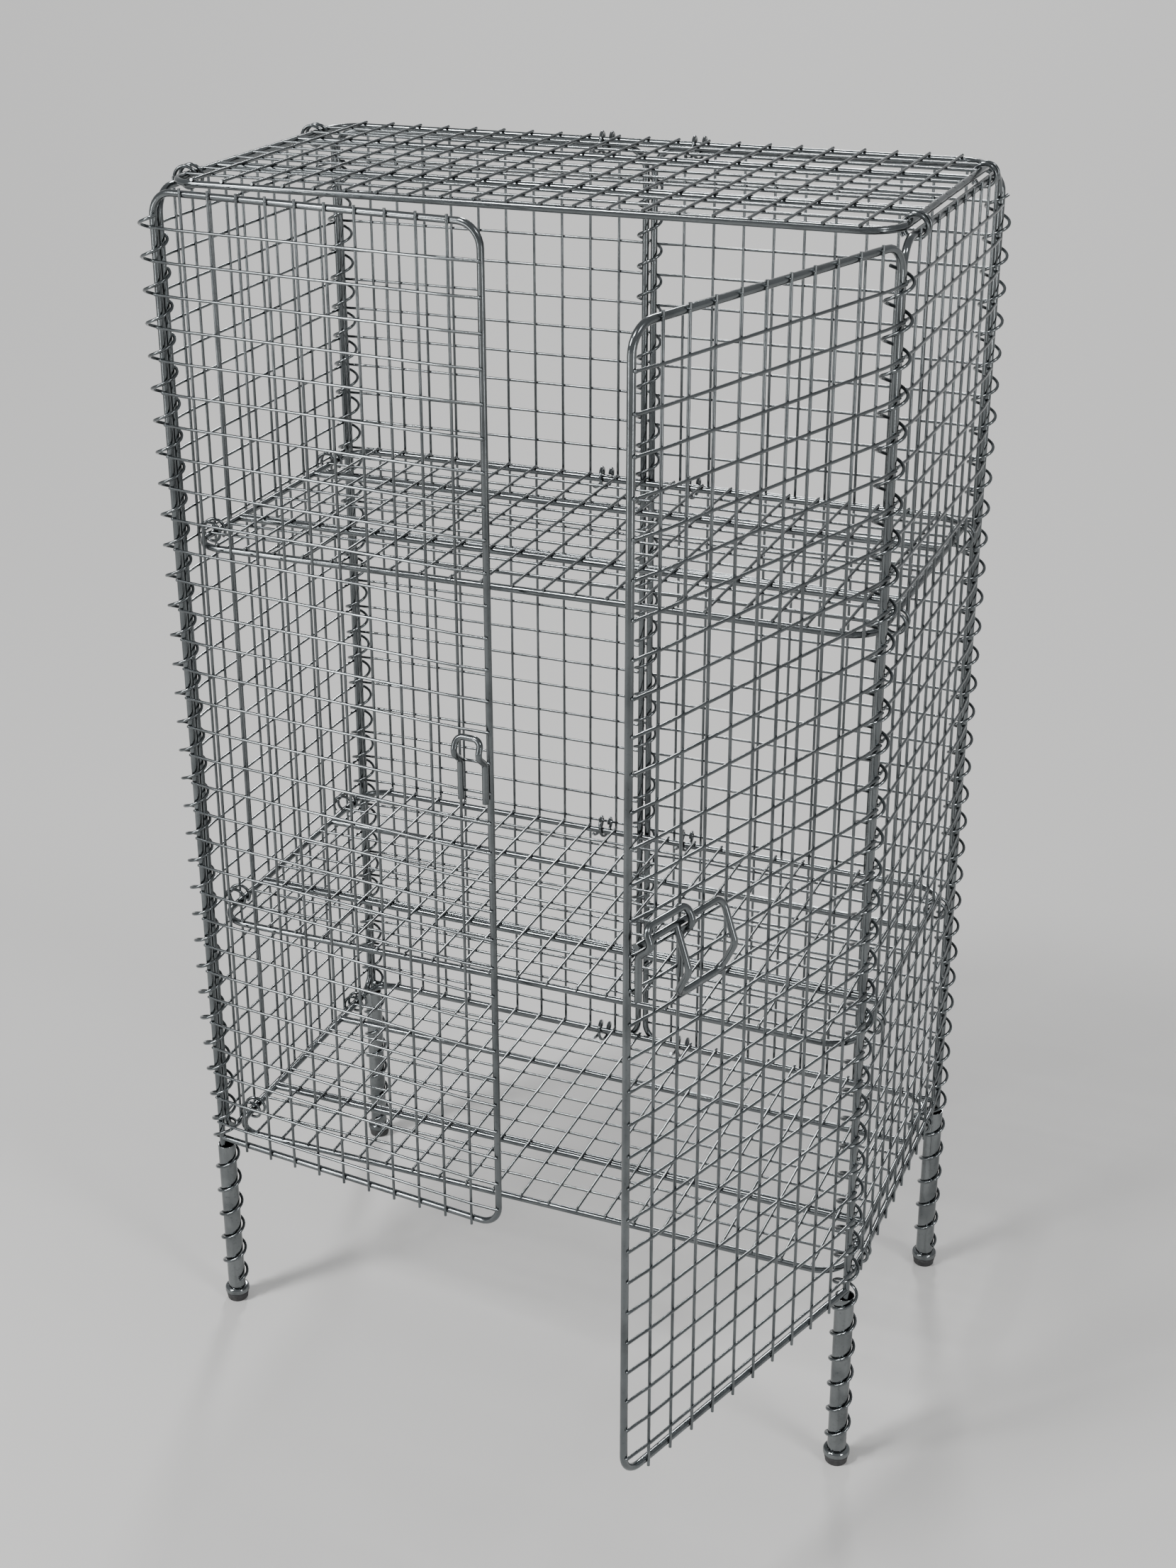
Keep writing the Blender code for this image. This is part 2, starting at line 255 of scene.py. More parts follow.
class Number:
    """A number from a node's socket; arithmetic on it adds Math nodes."""

    def __init__(self, tree, socket):
        self.tree = tree
        self.socket = socket

    def maths(self, operation, *others):
        terms = dict(enumerate((self, *others)))
        return self.tree.add("ShaderNodeMath", {"operation": operation}, terms).number("Value")

    def __add__(self, other):
        return self.maths("ADD", other)

    __radd__ = __add__

    def __mul__(self, other):
        return self.maths("MULTIPLY", other)

    __rmul__ = __mul__

    def __sub__(self, other):
        return self.maths("SUBTRACT", other)

    def __rsub__(self, other):
        return (self * -1.0) + other

    def __truediv__(self, other):
        return self.maths("DIVIDE", other)


class Made:
    """A node just made, whose outputs are read by name or number."""

    def __init__(self, tree, node):
        self.tree = tree
        self.node = node

    def __getitem__(self, output):
        return self.node.outputs[output]

    def number(self, output):
        return Number(self.tree, self.node.outputs[output])


class Tree:
    """A node tree that is written as calls."""

    def __init__(self, tree):
        self.tree = tree

    def add(self, kind, settings=None, sockets=None):
        """Make a node: its settings first, then the values or links of its sockets."""
        node = self.tree.nodes.new(kind)
        for name, value in (settings or {}).items():
            setattr(node, name, value)
        for name, value in (sockets or {}).items():
            values = value if isinstance(value, list) else [value]
            for one in values:
                self.give(node.inputs[name], one)
        return Made(self, node)

    def give(self, socket, value):
        if isinstance(value, Number):
            value = value.socket
        if isinstance(value, bpy.types.NodeSocket):
            self.tree.links.new(value, socket)
        else:
            socket.default_value = value


def node_group(name, inputs):
    """A geometry tree with named inputs; returns it with its input node."""
    group = bpy.data.node_groups.new(name, "GeometryNodeTree")
    group.interface.new_socket("Geometry", in_out="INPUT", socket_type="NodeSocketGeometry")
    for label, kind in inputs:
        group.interface.new_socket(label, in_out="INPUT", socket_type="NodeSocket" + kind)
    group.interface.new_socket("Geometry", in_out="OUTPUT", socket_type="NodeSocketGeometry")
    tree = Tree(group)
    return group, tree, tree.add("NodeGroupInput")


def finish_group(tree, geometry, given):
    """Turn and place the geometry, realize it, and give it the material."""
    placed = tree.add(
        "GeometryNodeTransform",
        sockets={"Geometry": geometry, "Rotation": given["Turn"], "Translation": given["Place"]},
    )
    real = tree.add("GeometryNodeRealizeInstances", sockets={"Geometry": placed["Geometry"]})
    painted = tree.add(
        "GeometryNodeSetMaterial",
        sockets={"Geometry": real["Geometry"], "Material": given["Material"]},
    )
    tree.add("NodeGroupOutput", sockets={"Geometry": painted["Geometry"]})


def swept(tree, curve, diameter, sides):
    """A round wire of the diameter along the curve, its ends closed."""
    section = tree.add(
        "GeometryNodeCurvePrimitiveCircle", sockets={"Resolution": sides, "Radius": diameter * 0.5}
    )
    return tree.add(
        "GeometryNodeCurveToMesh",
        sockets={"Curve": curve, "Profile Curve": section["Curve"], "Fill Caps": True},
    )["Mesh"]


def row_of(tree, count, start, step, instance):
    """Copies of the instance at the points of a straight row."""
    line = tree.add(
        "GeometryNodeMeshLine",
        {"mode": "OFFSET"},
        {"Count": count, "Start Location": start, "Offset": step},
    )
    return tree.add(
        "GeometryNodeInstanceOnPoints", sockets={"Points": line["Mesh"], "Instance": instance}
    )["Instances"]


def spot(tree, x, y=0.0, z=0.0):
    return tree.add("ShaderNodeCombineXYZ", sockets={"X": x, "Y": y, "Z": z})["Vector"]


PLACING = [("Turn", "Vector"), ("Place", "Vector"), ("Material", "Material")]


def bent_rod_group():
    """A rod along the object's own curve, its corners bent to a radius."""
    group, tree, given = node_group(
        "Bent Rod", [("Diameter", "Float"), ("Bend", "Float"), ("Sides", "Int"), *PLACING]
    )
    bent = tree.add(
        "GeometryNodeFilletCurve",
        {"mode": "POLY"},
        {"Curve": given["Geometry"], "Count": BEND_STEPS, "Radius": given["Bend"]},
    )
    rod = swept(tree, bent["Curve"], given.number("Diameter"), given["Sides"])
    finish_group(tree, rod, given)
    return group


def wire_layer_group():
    """A row of like wires; each runs along +X, dips to the frame at both its ends, and is turned.

    A knob of weld metal stands at each end, where the wire lies on the frame's rod.
    """
    inputs = [("Count", "Int"), ("First", "Vector"), ("Step", "Vector"), ("Length", "Float")]
    inputs += [("Dip", "Float"), ("Dip Run", "Float"), ("Over", "Float"), ("Diameter", "Float")]
    inputs += [("Sides", "Int"), ("Wire Turn", "Vector"), *PLACING]
    group, tree, given = node_group("Wire Layer", inputs)
    length = given.number("Length")
    over = given.number("Over")
    line = tree.add(
        "GeometryNodeCurvePrimitiveLine",
        sockets={"Start": spot(tree, over * -1.0), "End": spot(tree, length + over)},
    )
    points = tree.add(
        "GeometryNodeResampleCurve", sockets={"Curve": line["Curve"], "Count": WIRE_POINTS}
    )
    place = tree.add("GeometryNodeInputPosition")
    along = tree.add("ShaderNodeSeparateXYZ", sockets={"Vector": place["Position"]}).number("X")
    from_end = along.maths("MINIMUM", length - along) / given.number("Dip Run")
    share = from_end.maths("MAXIMUM", 0.0).maths("MINIMUM", 1.0)
    eased = share * share * (3.0 - share * 2.0)
    dipped = tree.add(
        "GeometryNodeSetPosition",
        sockets={
            "Geometry": points["Curve"],
            "Offset": spot(tree, 0.0, (1.0 - eased) * given.number("Dip")),
        },
    )
    wire = swept(tree, dipped["Geometry"], given.number("Diameter"), given["Sides"])
    knob = tree.add(
        "GeometryNodeMeshIcoSphere",
        sockets={"Radius": given.number("Diameter") * KNOB_RADIUS, "Subdivisions": 2},
    )
    ends = tree.add(
        "GeometryNodeMeshLine",
        {"mode": "OFFSET"},
        {"Count": 2, "Start Location": spot(tree, 0.0, given["Dip"]), "Offset": spot(tree, length)},
    )
    knobs = tree.add(
        "GeometryNodeInstanceOnPoints",
        sockets={"Points": ends["Mesh"], "Instance": knob["Mesh"], "Scale": KNOB_SHAPE},
    )
    both = tree.add("GeometryNodeJoinGeometry", sockets={"Geometry": [wire, knobs["Instances"]]})
    turned_wire = tree.add(
        "GeometryNodeTransform",
        sockets={"Geometry": both["Geometry"], "Rotation": given["Wire Turn"]},
    )
    rows = row_of(tree, given["Count"], given["First"], given["Step"], turned_wire["Geometry"])
    finish_group(tree, rows, given)
    return group


def spiral_group():
    """A right-handed spiral about Z, its height counted in turns from the origin.

    Near the raised turn the wire is lifted, to pass over a rod that stands in its way. From the
    lean's start to where it is full, the turns move towards -X.
    """
    inputs = [("Radius", "Float"), ("Pitch", "Float"), ("First Turn", "Float"), ("Turns", "Float")]
    inputs += [("Raised Turn", "Float"), ("Lift", "Float"), ("Reach", "Float")]
    inputs += [("Lean", "Float"), ("Lean Start", "Float"), ("Lean Full", "Float")]
    inputs += [("Diameter", "Float"), ("Steps", "Int"), ("Sides", "Int"), *PLACING]
    group, tree, given = node_group("Spiral", inputs)
    steps = given.number("Steps")
    count = (given.number("Turns") * steps).maths("ROUND") + 1.0
    line = tree.add("GeometryNodeCurvePrimitiveLine")
    points = tree.add(
        "GeometryNodeResampleCurve", sockets={"Curve": line["Curve"], "Count": count}
    )
    turn = tree.add("GeometryNodeInputIndex").number("Index") / steps + given.number("First Turn")
    angle = (turn - 0.25) * math.tau  # a whole turn is at the front
    away = (turn - given.number("Raised Turn")).maths("ABSOLUTE") / given.number("Reach")
    crest = (away.maths("MINIMUM", 1.0) * (math.pi / 2)).maths("COSINE")
    height = turn * given.number("Pitch") + crest * crest * given.number("Lift")
    radius = given.number("Radius")
    start = given.number("Lean Start")
    leaning = (turn - start) / (given.number("Lean Full") - start)
    leaning = leaning.maths("MAXIMUM", 0.0).maths("MINIMUM", 1.0)
    across = angle.maths("COSINE") * radius - given.number("Lean") * leaning
    wound = tree.add(
        "GeometryNodeSetPosition",
        sockets={
            "Geometry": points["Curve"],
            "Position": spot(tree, across, angle.maths("SINE") * radius, height),
        },
    )
    wire = swept(tree, wound["Geometry"], given.number("Diameter"), given["Sides"])
    finish_group(tree, wire, given)
    return group


GROUPS = {"Bent Rod": bent_rod_group, "Wire Layer": wire_layer_group, "Spiral": spiral_group}


def group_named(name):
    return bpy.data.node_groups.get(name) or GROUPS[name]()


def grown(name, base, group, **values):
    """The base curve or mesh put through the node group, as a plain mesh."""
    obj = bpy.data.objects.new(name, base)
    bpy.context.scene.collection.objects.link(obj)
    modifier = obj.modifiers.new(group.name, "NODES")
    modifier.node_group = group
    for socket in group.interface.items_tree:
        if socket.in_out == "INPUT" and socket.socket_type != "NodeSocketGeometry":
            modifier[socket.identifier] = values[socket.name.replace(" ", "_").lower()]
    bpy.context.view_layer.update()
    graph = bpy.context.evaluated_depsgraph_get()
    mesh = bpy.data.meshes.new_from_object(obj.evaluated_get(graph))
    bpy.data.objects.remove(obj, do_unlink=True)
    return mesh


def path_curve(points, closed):
    curve = bpy.data.curves.new("path", "CURVE")
    curve.dimensions = "3D"
    spline = curve.splines.new("POLY")
    spline.points.add(len(points) - 1)
    for knot, point in zip(spline.points, points):
        knot.co = (*point, 1.0)
    spline.use_cyclic_u = closed
    return curve


def bent_rod(points, closed, bend, diameter, place, turn, material):
    return grown(
        "rod",
        path_curve(points, closed),
        group_named("Bent Rod"),
        diameter=diameter,
        bend=bend,
        sides=sizes().rod_sides,
        turn=turn,
        place=place,
        material=material,
    )


def wire_layer(count, first, step, length, dip, over, wire_turn, place, turn, material):
    return grown(
        "wires",
        bpy.data.meshes.new("wires"),
        group_named("Wire Layer"),
        count=count,
        first=first,
        step=step,
        length=length,
        dip=dip,
        dip_run=DIP_RUN,
        over=over,
        diameter=sizes().wire,
        sides=sizes().wire_sides,
        wire_turn=wire_turn,
        turn=turn,
        place=place,
        material=material,
    )


def spiral(first, turns, radius, pitch, diameter, place, turn, raised=0.0, lift=0.0, lean=0.0):
    return grown(
        "spiral",
        bpy.data.meshes.new("spiral"),
        group_named("Spiral"),
        radius=radius,
        pitch=pitch,
        first_turn=first,
        turns=turns,
        raised_turn=raised,
        lift=lift,
        reach=LIFT_REACH,
        lean=lean,
        lean_start=(LEAN_START - place[2]) / pitch,
        lean_full=(LEAN_FULL - place[2]) / pitch,
        diameter=diameter,
        steps=SPIRAL_STEPS,
        sides=sizes().wire_sides + 2,
        turn=turn,
        place=place,
        material=zinc(),
    )


def piece(name, meshes, body, node):
    """One finished piece from the meshes: it rides on the body and stands for the CAD node."""
    bm = bmesh.new()
    for mesh in meshes:
        bm.from_mesh(mesh)
    joined = bpy.data.meshes.new(name)
    bm.to_mesh(joined)
    bm.free()
    joined.materials.append(meshes[0].materials[0])
    joined.shade_smooth()
    joined.set_sharp_from_angle(angle=math.radians(SMOOTH_BELOW))
    obj = bpy.data.objects.new(name, joined)
    bpy.context.scene.collection.objects.link(obj)
    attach(obj, body)
    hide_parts(node)


# Finishes


def new_material(name):
    """A material and its Principled shader."""
    material = bpy.data.materials.new(name)
    material.use_nodes = True
    return material, material.node_tree.nodes["Principled BSDF"]


def pattern_tree(material):
    """The material's tree, and the object's own coordinates for its patterns."""
    tree = Tree(material.node_tree)
    return tree, tree.add("ShaderNodeTexCoord")["Object"]


def noise(tree, place, scale, detail=3.0):
    made = tree.add(
        "ShaderNodeTexNoise", sockets={"Vector": place, "Scale": scale, "Detail": detail}
    )
    return made.number("Fac")


def levelled(value, low, high):
    """The value stretched so that low gives 0 and high gives 1, and held there."""
    share = (value - low) / (high - low)
    return share.maths("MAXIMUM", 0.0).maths("MINIMUM", 1.0)


def mixed(tree, factor, first, second):
    """The colour between two others, by the factor."""
    settings = {"data_type": "RGBA"}
    # On a Mix node 6 and 7 are the colour inputs and 2 is the colour output
    sockets = {"Factor": factor, 6: (*first, 1.0), 7: (*second, 1.0)}
    return tree.add("ShaderNodeMix", settings, sockets)[2]


def plating(name, clean, dull, smooth, rough, grain, relief):
    """Bright plating that dulls in soft patches, with a fine drawn grain."""
    material, shader = new_material(name)
    tree, place = pattern_tree(material)
    patches = levelled(noise(tree, place, scale=34.0), low=0.42, high=0.68)
    specks = levelled(noise(tree, place, scale=420.0, detail=1.0), low=0.60, high=0.75)
    dulled = (patches * 0.75 + specks * 0.35).maths("MINIMUM", 1.0)
    # The clean and dull colours carry painted shade: both are darker than real zinc, as a painted
    # dark reflection; the patches between them are dulling at random
    tree.give(shader.inputs["Base Color"], mixed(tree, dulled, clean, dull))
    shader.inputs["Metallic"].default_value = 1.0
    tree.give(shader.inputs["Roughness"], dulled * (rough - smooth) + smooth)
    bump = tree.add(
        "ShaderNodeBump",
        sockets={
            "Strength": relief,
            "Distance": RELIEF_DEPTH,
            "Height": noise(tree, place, scale=grain),
        },
    )
    tree.give(shader.inputs["Normal"], bump["Normal"])
    return material


def zinc():
    shades = colours()
    return bpy.data.materials.get("Bright zinc") or plating(
        "Bright zinc",
        shades.zinc,
        shades.dull_zinc,
        smooth=0.12,
        rough=0.28,
        grain=900.0,
        relief=0.10,
    )


def bright_plate():
    shades = colours()
    return bpy.data.materials.get("Bright plate") or plating(
        "Bright plate",
        shades.bright,
        shades.dull_zinc,
        smooth=0.10,
        rough=0.24,
        grain=600.0,
        relief=0.05,
    )


def rubber():
    made = bpy.data.materials.get("Black rubber")
    if made:
        return made
    material, shader = new_material("Black rubber")
    tree, place = pattern_tree(material)
    worn = levelled(noise(tree, place, scale=260.0), low=0.45, high=0.75)
    shades = colours()
    tree.give(shader.inputs["Base Color"], mixed(tree, worn, shades.rubber, shades.worn_rubber))
    tree.give(shader.inputs["Roughness"], worn * 0.2 + 0.6)
    return material


# Panels


def upright_panel(name, body, hand, place, turn, pivot):
    """A panel that stands on its outer rod and reaches to one hand, its mesh towards -Y.

    With a pivot, the outer rod runs on down into a leg; without one, the rod is a closed ring.
    """
    size = sizes()
    metal = zinc()
    far = hand * PANEL_WIDTH
    facing = (0.0, 0.0, turn)
    if pivot:
        path = [(0, 0, PIVOT_END), (0, 0, TOP_ROD), (far, 0, TOP_ROD), (far, 0, BOTTOM_ROD)]
        path.append((hand * LAST_ROD_GAP, 0, BOTTOM_ROD))
    else:
        path = [(0, 0, BOTTOM_ROD), (0, 0, TOP_ROD), (far, 0, TOP_ROD), (far, 0, BOTTOM_ROD)]
    frame_rod = bent_rod(path, not pivot, size.bend, size.rod, place, facing, metal)
    welded = size.rod / 2 + size.wire / 2 - WELD_SINK
    column_out = welded - COLUMN_SINK
    row_out = column_out + size.wire - WELD_SINK
    start = 0.0 if hand > 0 else -PANEL_WIDTH
    rows = wire_layer(
        count=ROWS,
        first=(start, -row_out, FIRST_ROW),
        step=(0.0, 0.0, -size.pitch),
        length=PANEL_WIDTH,
        dip=row_out - welded,
        over=ROW_OVER,
        wire_turn=ORIGIN,
        place=place,
        turn=facing,
        material=metal,
    )
    columns = wire_layer(
        count=COLUMNS,
        first=(hand * FIRST_COLUMN, -column_out, TOP_ROD),
        step=(hand * size.pitch, 0.0, 0.0),
        length=TOP_ROD - BOTTOM_ROD,
        dip=0.0,
        over=COLUMN_OVER,
        wire_turn=(0.0, math.pi / 2, 0.0),
        place=place,
        turn=facing,
        material=metal,
    )
    piece(name, [frame_rod, rows, columns], body, name)


def level_panel(name, height):
    """The top, a shelf or the bottom: depth wires uppermost, long wires and braces beneath."""
    size = sizes()
    metal = zinc()
    low, high = (Vector(corner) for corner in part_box(name))
    left, right = low.x + size.rod / 2, high.x - size.rod / 2
    front, back = low.y + size.rod / 2, high.y - size.rod / 2
    corners = [(left, front, 0), (right, front, 0), (right, back, 0), (left, back, 0)]
    place = (0.0, 0.0, height)
    meshes = [bent_rod(corners, True, size.level_bend, size.rod, place, ORIGIN, metal)]
    for behind in BRACES:
        ends = [(left, front + behind, 0), (right, front + behind, 0)]
        meshes.append(bent_rod(ends, False, size.level_bend, size.rod, place, ORIGIN, metal))
    welded = size.rod / 2 + size.wire / 2 - WELD_SINK
    half = size.pitch * (DEPTH_WIRES - 1) / 2
    depth_wires = wire_layer(
        count=DEPTH_WIRES,
        first=(MIDDLE - half, front, welded),
        step=(size.pitch, 0.0, 0.0),
        length=back - front,
        dip=0.0,
        over=DEPTH_WIRE_OVER,
        wire_turn=(0.0, 0.0, math.pi / 2),
        place=place,
        turn=ORIGIN,
        material=metal,
    )
    long_wires = wire_layer(
        count=LONG_WIRES,
        first=(left, front + FIRST_LONG_WIRE, welded - size.wire + WELD_SINK),
        step=(0.0, size.pitch, 0.0),
        length=right - left,
        dip=0.0,
        over=0.0,
        wire_turn=ORIGIN,
        place=place,
        turn=ORIGIN,
        material=metal,
    )
    piece(name, [*meshes, depth_wires, long_wires], "cage", name)


class KENNEL_OT_doors(Operator):
    """Make the two mesh doors, each on its own hinge rod"""

    bl_idname = "kennel.doors"
    bl_label = "Doors"

    def execute(self, context):
        upright_panel("left_door", "left_leaf", 1, LEFT_HINGE, -LEFT_OPEN, pivot=True)
        upright_panel("right_door", "right_leaf", -1, RIGHT_HINGE, RIGHT_OPEN, pivot=True)
        return {"FINISHED"}


class KENNEL_OT_walls(Operator):
    """Make the two side panels and the two back panels"""

    bl_idname = "kennel.walls"
    bl_label = "Walls"

    def execute(self, context):
        quarter = math.pi / 2
        mirrored = Vector((SPAN_X - SIDE_INSET.x, SIDE_INSET.y, 0.0))
        upright_panel("left_side", "cage", -1, SIDE_INSET, -quarter, pivot=False)
        upright_panel("right_side", "cage", 1, mirrored, quarter, pivot=False)
        left_rod = (LEFT_HINGE.x, SPAN_Y - LEFT_HINGE.y, 0.0)
        right_rod = (RIGHT_HINGE.x, SPAN_Y - LEFT_HINGE.y, 0.0)
        upright_panel("left_back", "cage", -1, left_rod, math.pi, pivot=True)
        upright_panel("right_back", "cage", 1, right_rod, math.pi, pivot=True)
        return {"FINISHED"}


class KENNEL_OT_levels(Operator):
    """Make the top, the two shelves and the bottom"""

    bl_idname = "kennel.levels"
    bl_label = "Shelves"

    def execute(self, context):
        for name, height in LEVEL_HEIGHTS.items():
            level_panel(name, height)
        return {"FINISHED"}


# Spirals and clips


class KENNEL_OT_spirals(Operator):
    """Make the four corner spirals and the one between the back panels"""

    bl_idname = "kennel.spirals"
    bl_label = "Spirals"

    def execute(self, context):
        size = sizes()
        for name, phase in SPIRAL_PHASES.items():
            if name == "back_middle_spiral":
                centre = Vector((MIDDLE, SPAN_Y - LEFT_HINGE.y, 0.0))
            else:
                centre = box_centre(name.replace("spiral", "leg"))
            low, high = (corner[2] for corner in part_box(name))
            low += size.spiral_wire / 2
            high -= size.spiral_wire / 2
            radius, hang = size.spiral_radius, {}
            if name == LEANING_SPIRAL:
                radius = LEAN_RADIUS
                raised = round((BOTTOM_ROD - FIRST_ROW) / size.pitch - phase) + LIFT_LATE
                hang = {"raised": raised, "lift": DOOR_LIFT, "lean": LEAN}
            mesh = spiral(
                first=(low - FIRST_ROW) / size.pitch - phase,
                turns=(high - low) / size.pitch,
                radius=radius,
                pitch=size.pitch,
                diameter=size.spiral_wire,
                place=(centre.x, centre.y, FIRST_ROW + phase * size.pitch),
                turn=ORIGIN,
                **hang,
            )
            piece(name, [mesh], "cage", name)
        return {"FINISHED"}


class KENNEL_OT_clips(Operator):
    """Make the short spiral clips that tie the shelves to the walls"""

    bl_idname = "kennel.clips"
    bl_label = "Clips"

    def execute(self, context):
        size = sizes()
        half = CLIP_TURNS * CLIP_PITCH / 2
        for level in LEVELS:
            for end in CLIP_ENDS:
                name = f"{level}_{end}_clip"
                centre = box_centre(name)
                if end.startswith("rear"):
                    place = (centre.x - half, centre.y, centre.z)
                    turn = (0.0, math.pi / 2, 0.0)
                else:
                    place = (centre.x, centre.y + half, centre.z)
                    turn = (math.pi / 2, 0.0, 0.0)
                mesh = spiral(
                    first=CLIP_START,
                    turns=CLIP_TURNS,
                    radius=size.clip_radius,
                    pitch=CLIP_PITCH,
                    diameter=size.clip_wire,
                    place=place,
                    turn=turn,
                )
                piece(name, [mesh], "cage", name)
        return {"FINISHED"}


# Latch


def local_path(points, hand):
    """Points given along a door, out from its rods, and up, for a door that reaches to a hand."""
    return [(hand * along, -out, up) for along, out, up in points]


def staple(name, body, hand, ends, place, turn):
    """A bulged loop whose two legs stand at the ends' distances from the hinge rod."""
    near, far = ends
    top = FIRST_ROW - LATCH_ROW * sizes().pitch
    points = [(near, out, top - drop) for out, drop in STAPLE_SIDE]
    points += [(far, out, top - drop) for out, drop in reversed(STAPLE_SIDE)]
    path = local_path(points, hand)
    mesh = bent_rod(path, False, STAPLE_BEND, STAPLE_ROD, place, (0.0, 0.0, turn), zinc())
    piece(name, [mesh], body, name)


class KENNEL_OT_latch(Operator):
    """Make the two bulged staples and the sliding bolt with its handle"""

    bl_idname = "kennel.latch"
    bl_label = "Latch"

    def execute(self, context):
        staple("left_staple", "left_leaf", 1, LEFT_STAPLE, LEFT_HINGE, -LEFT_OPEN)
        staple("right_staple", "right_leaf", -1, RIGHT_STAPLE, RIGHT_HINGE, RIGHT_OPEN)
        top = FIRST_ROW - LATCH_ROW * sizes().pitch - BOLT_DROP
        near, far = HANDLE
        side = [(out, top + up) for out, up in ((BOLT_OUT, 0.0), HANDLE_KNEE, HANDLE_FOOT)]
        points = [(BOLT_END, BOLT_OUT, top)]
        points += [(near, out, up) for out, up in side]
        points += [(far, out, up) for out, up in reversed(side)]
        path = local_path(points, -1)
        turn = (0.0, 0.0, RIGHT_OPEN)
        mesh = bent_rod(path, False, HANDLE_BEND, BOLT_ROD, RIGHT_HINGE, turn, zinc())
        piece("bolt", [mesh], "slide_bolt", "bolt")
        return {"FINISHED"}


# Legs and feet


def lathed(name, profile, centre, material, on_axis=False):
    """A solid of revolution about the centre's upright; the profile runs down its outer side.

    A profile that starts and ends on the axis stays open, and any other is closed to a ring.
    """
    mesh = bpy.data.meshes.new(name + "_profile")
    edges = [(i, i + 1) for i in range(len(profile) - 1)]
    if not on_axis:
        edges.append((len(profile) - 1, 0))
    mesh.from_pydata([(radius, 0.0, height) for radius, height in profile], edges, [])
    obj = bpy.data.objects.new(name + "_profile", mesh)
    bpy.context.scene.collection.objects.link(obj)
    screw = obj.modifiers.new("Turn", "SCREW")
    screw.steps = LATHE_STEPS
    screw.render_steps = LATHE_STEPS
    screw.use_merge_vertices = on_axis
    screw.merge_threshold = 0.00001
    bpy.context.view_layer.update()
    graph = bpy.context.evaluated_depsgraph_get()
    solid = bpy.data.meshes.new_from_object(obj.evaluated_get(graph))
    bpy.data.objects.remove(obj, do_unlink=True)
    for vertex in solid.vertices:
        vertex.co += Vector((centre.x, centre.y, 0.0))
    solid.materials.append(material)
    piece(name, [solid], "cage", name)


def arc(centre, radius, start, end, steps):
    """Points of a profile's round stretch, its angles in degrees from the outward level."""
    points = []
    for step in range(steps + 1):
        angle = math.radians(start + (end - start) * step / steps)
        points.append((centre[0] + radius * math.cos(angle), centre[1] + radius * math.sin(angle)))
    return points


# Profiles, each point its radius and its height
TUBE_OUTER, TUBE_INNER = 0.0078, 0.0069
TUBE_EDGE = 0.00025
TUBE = [
    (TUBE_INNER, LEG_RIM - TUBE_EDGE),
    *arc((TUBE_OUTER - TUBE_EDGE, LEG_RIM - TUBE_EDGE), TUBE_EDGE, start=90, end=0, steps=3),
    (TUBE_OUTER, LEG_LOW),
    (TUBE_INNER, LEG_LOW),
]
FLANGE = [
    (0.0081, 0.0138),
    *arc((0.0084, 0.0111), radius=0.0026, start=84, end=0, steps=8),
    (0.0110, 0.0086),
    (0.0069, 0.0086),
    (0.0069, 0.0121),
    (0.0081, 0.0121),
]
FOOT = [
    (0.0, 0.0200),
    (0.0064, 0.0200),
    (0.0066, 0.0081),
    (0.0090, 0.0081),
    *arc((0.0084, 0.0058), radius=0.0016, start=50, end=-30, steps=6),
    *arc((0.0082, 0.0010), radius=0.0010, start=0, end=-90, steps=4),
    (0.0, 0.0),
]


class KENNEL_OT_legs(Operator):
    """Make the four tubular legs with their flanges and rubber feet"""

    bl_idname = "kennel.legs"
    bl_label = "Legs"

    def execute(self, context):
        for corner in ("front_left", "front_right", "back_left", "back_right"):
            centre = box_centre(corner + "_leg")
            lathed(corner + "_leg", TUBE, centre, bright_plate())
            lathed(corner + "_flange", FLANGE, centre, bright_plate())
            lathed(corner + "_foot", FOOT, centre, rubber(), on_axis=True)
        return {"FINISHED"}


# Stage


def area_light(name, place, target, energy, width, height):
    light = bpy.data.lights.new(name, "AREA")
    light.energy = energy
    light.shape = "RECTANGLE"
    light.size = width
    light.size_y = height
    obj = bpy.data.objects.new(name, light)
    obj.location = place
    obj.rotation_euler = (Vector(target) - Vector(place)).to_track_quat("-Z", "Y").to_euler()
    obj.visible_camera = False
    bpy.context.scene.collection.objects.link(obj)


def sun(name, towards, strength, spread):
    """A broad sun; the direction points towards it, and the spread is its width in degrees."""
    light = bpy.data.lights.new(name, "SUN")
    light.energy = strength
    light.angle = math.radians(spread)
    obj = bpy.data.objects.new(name, light)
    obj.rotation_euler = Vector(towards).to_track_quat("Z", "Y").to_euler()
    bpy.context.scene.collection.objects.link(obj)


